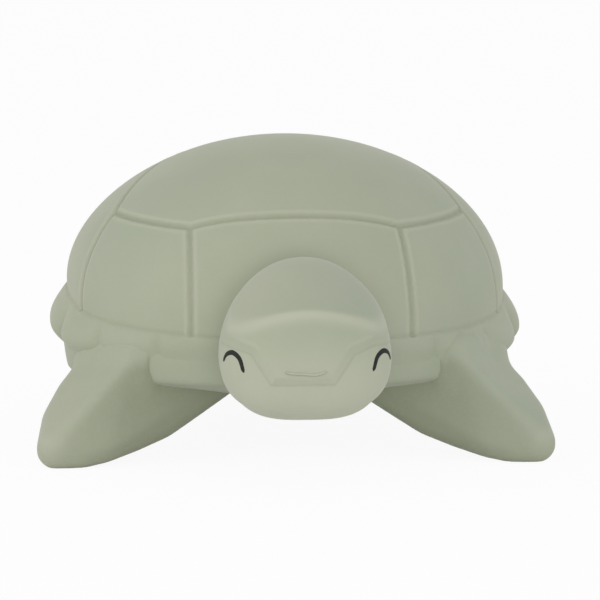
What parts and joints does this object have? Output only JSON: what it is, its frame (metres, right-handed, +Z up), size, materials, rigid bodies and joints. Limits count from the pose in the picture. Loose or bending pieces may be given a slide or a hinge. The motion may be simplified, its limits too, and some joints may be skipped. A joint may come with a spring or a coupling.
{
  "type": "turtle bath toy",
  "caption": "Hollow soft-rubber sea turtle bath toy with a domed, grooved shell, a smiling beaked head and flexing wedge flippers that it stands on.",
  "frame": {"origin": "on the ground under the middle of the toy's box", "axes": "+Z up, -Y out of the nose, +X towards the turtle's left side"},
  "size_m": [0.1036, 0.1208, 0.0615],
  "materials": {
    "sage_rubber": "matte sage-green natural rubber, slightly chalky",
    "eye_paint": "matte near-black paint"
  },
  "bodies": {
    "shell": {"upper_shell": "sage_rubber", "lower_shell": "sage_rubber", "belly_plug": "sage_rubber"},
    "head": {"head": "sage_rubber", "eye_left": "eye_paint", "eye_right": "eye_paint"},
    "front_flipper_left": {"front_flipper_left": "sage_rubber"},
    "front_flipper_right": {"front_flipper_right": "sage_rubber"},
    "rear_flipper_left": {"rear_flipper_left": "sage_rubber"},
    "rear_flipper_right": {"rear_flipper_right": "sage_rubber"}
  },
  "joints": [
    {"name": "head_nod", "type": "hinge", "parent": "shell", "child": "head", "pos_m": [0, -0.0289, 0.0245], "axis": [-1, 0, 0], "range_deg": [-10, 8], "stiffness_Nm_per_rad": 1},
    {"name": "front_left_flap", "type": "hinge", "parent": "shell", "child": "front_flipper_left", "pos_m": [0.02605, -0.01035, 0.0163], "axis": [0, -1, 0], "range_deg": [-10, 6], "stiffness_Nm_per_rad": 0.45},
    {"name": "front_right_flap", "type": "hinge", "parent": "shell", "child": "front_flipper_right", "pos_m": [-0.02605, -0.01035, 0.0163], "axis": [0, 1, 0], "range_deg": [-10, 6], "stiffness_Nm_per_rad": 0.45},
    {"name": "rear_left_flap", "type": "hinge", "parent": "shell", "child": "rear_flipper_left", "pos_m": [0.02185, 0.03565, 0.016], "axis": [0, -1, 0], "range_deg": [-10, 6], "stiffness_Nm_per_rad": 0.3},
    {"name": "rear_right_flap", "type": "hinge", "parent": "shell", "child": "rear_flipper_right", "pos_m": [-0.02185, 0.03565, 0.016], "axis": [0, 1, 0], "range_deg": [-10, 6], "stiffness_Nm_per_rad": 0.3}
  ]
}
